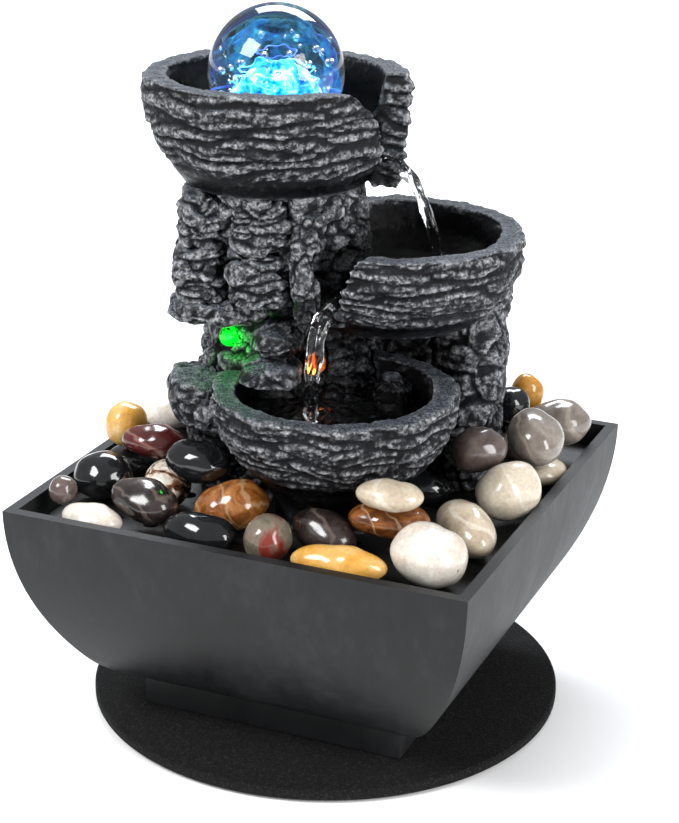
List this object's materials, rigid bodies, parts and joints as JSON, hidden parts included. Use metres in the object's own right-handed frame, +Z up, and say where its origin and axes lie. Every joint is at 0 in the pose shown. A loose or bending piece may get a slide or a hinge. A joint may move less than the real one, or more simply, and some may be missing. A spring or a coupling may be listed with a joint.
{
  "type": "tabletop water fountain",
  "caption": "Tabletop water fountain: a square bowl of pebbles on a round turntable, with a rock tower of stepped basins, a glass ball on top, a pump and lamps.",
  "frame": {"origin": "bottom centre of the turntable's feet, on the surface it stands on", "axes": "+Z up, -Y out of the front face of the bowl, +X to its right"},
  "size_m": [0.184, 0.184, 0.2695],
  "materials": {
    "disc_board": "matte",
    "foot_rubber": "matte",
    "glide_plastic": "satin",
    "screw_steel": "satin",
    "bowl_plastic": "satin",
    "tray_plastic": "matte",
    "pump_plastic": "satin",
    "dial_plastic": "satin",
    "impeller_plastic": "satin",
    "shaft_ceramic": "polished",
    "gland_rubber": "matte",
    "tube_vinyl": "clear",
    "seat_plastic": "clear",
    "ball_glass": "polished",
    "lamp_plastic": "satin",
    "rock_resin": "dry-brushed matte",
    "pebbles_white": "polished",
    "pebbles_black": "polished",
    "pebbles_green": "polished",
    "pebbles_honey": "polished",
    "pebbles_brown": "polished",
    "pebbles_agate": "polished",
    "pebbles_orange": "polished",
    "pebbles_cream": "polished",
    "pebbles_maroon": "polished",
    "pebbles_grey": "polished",
    "blue_light": "clear",
    "green_light": "clear",
    "amber_light": "clear"
  },
  "bodies": {
    "base": {"base_disc": "disc_board", "disc_feet": "foot_rubber", "glide_ring": "glide_plastic"},
    "bowl_unit": {"bowl": "bowl_plastic", "foot_plate": "bowl_plastic", "foot_plate_screws": "screw_steel", "pivot_screw": "screw_steel", "pebble_tray": "tray_plastic", "pump_housing": "pump_plastic", "pump_chamber": "pump_plastic", "pump_nozzle": "pump_plastic", "intake_cover": "pump_plastic", "impeller_shaft": "shaft_ceramic", "cable_gland": "gland_rubber", "suction_cups": "foot_rubber", "pebbles_white": "pebbles_white", "pebbles_black": "pebbles_black", "pebbles_green": "pebbles_green", "pebbles_honey": "pebbles_honey", "pebbles_brown": "pebbles_brown", "pebbles_agate": "pebbles_agate", "pebbles_orange": "pebbles_orange", "pebbles_cream": "pebbles_cream", "pebbles_maroon": "pebbles_maroon", "pebbles_grey": "pebbles_grey"},
    "tower": {"tower_core": "rock_resin", "left_base_rock": "rock_resin", "ledge_rock": "rock_resin", "overhang_slab": "rock_resin", "slab_lower_left": "rock_resin", "slab_lower_right": "rock_resin", "slab_upper_left": "rock_resin", "slab_upper_right": "rock_resin", "wedge_rock": "rock_resin", "right_column": "rock_resin", "rear_column": "rock_resin", "boulder_upper": "rock_resin", "boulder_lower": "rock_resin", "pool_boulder": "rock_resin", "upper_basin": "rock_resin", "middle_basin": "rock_resin", "lower_basin": "rock_resin", "riser_tube": "tube_vinyl", "ball_seat": "seat_plastic", "ball_lights": "blue_light", "niche_lamp": "lamp_plastic", "niche_lens": "green_light", "cascade_lamp": "lamp_plastic", "cascade_lens": "amber_light"},
    "ball": {"glass_ball": "ball_glass"},
    "impeller_unit": {"impeller": "impeller_plastic"},
    "regulator": {"flow_regulator": "dial_plastic"}
  },
  "joints": [
    {"name": "turntable_swivel", "type": "hinge", "parent": "base", "child": "bowl_unit", "pos_m": [0, 0, 0.0056], "axis": [0, 0, 1], "continuous": true},
    {"name": "tower_lift", "type": "slide", "parent": "bowl_unit", "child": "tower", "axis": [0, 0, 1], "range_m": [0, 0.09]},
    {"name": "ball_spin", "type": "hinge", "parent": "tower", "child": "ball", "pos_m": [-0.02233, 0.00123, 0.2445], "axis": [0, 0, 1], "continuous": true},
    {"name": "impeller_spin", "type": "hinge", "parent": "bowl_unit", "child": "impeller_unit", "pos_m": [-0.02233, 0.00123, 0.036], "axis": [1, 0, 0], "continuous": true},
    {"name": "flow_regulator_turn", "type": "hinge", "parent": "bowl_unit", "child": "regulator", "pos_m": [-0.02933, 0.00123, 0.036], "axis": [1, 0, 0], "range_deg": [0, 90]}
  ]
}
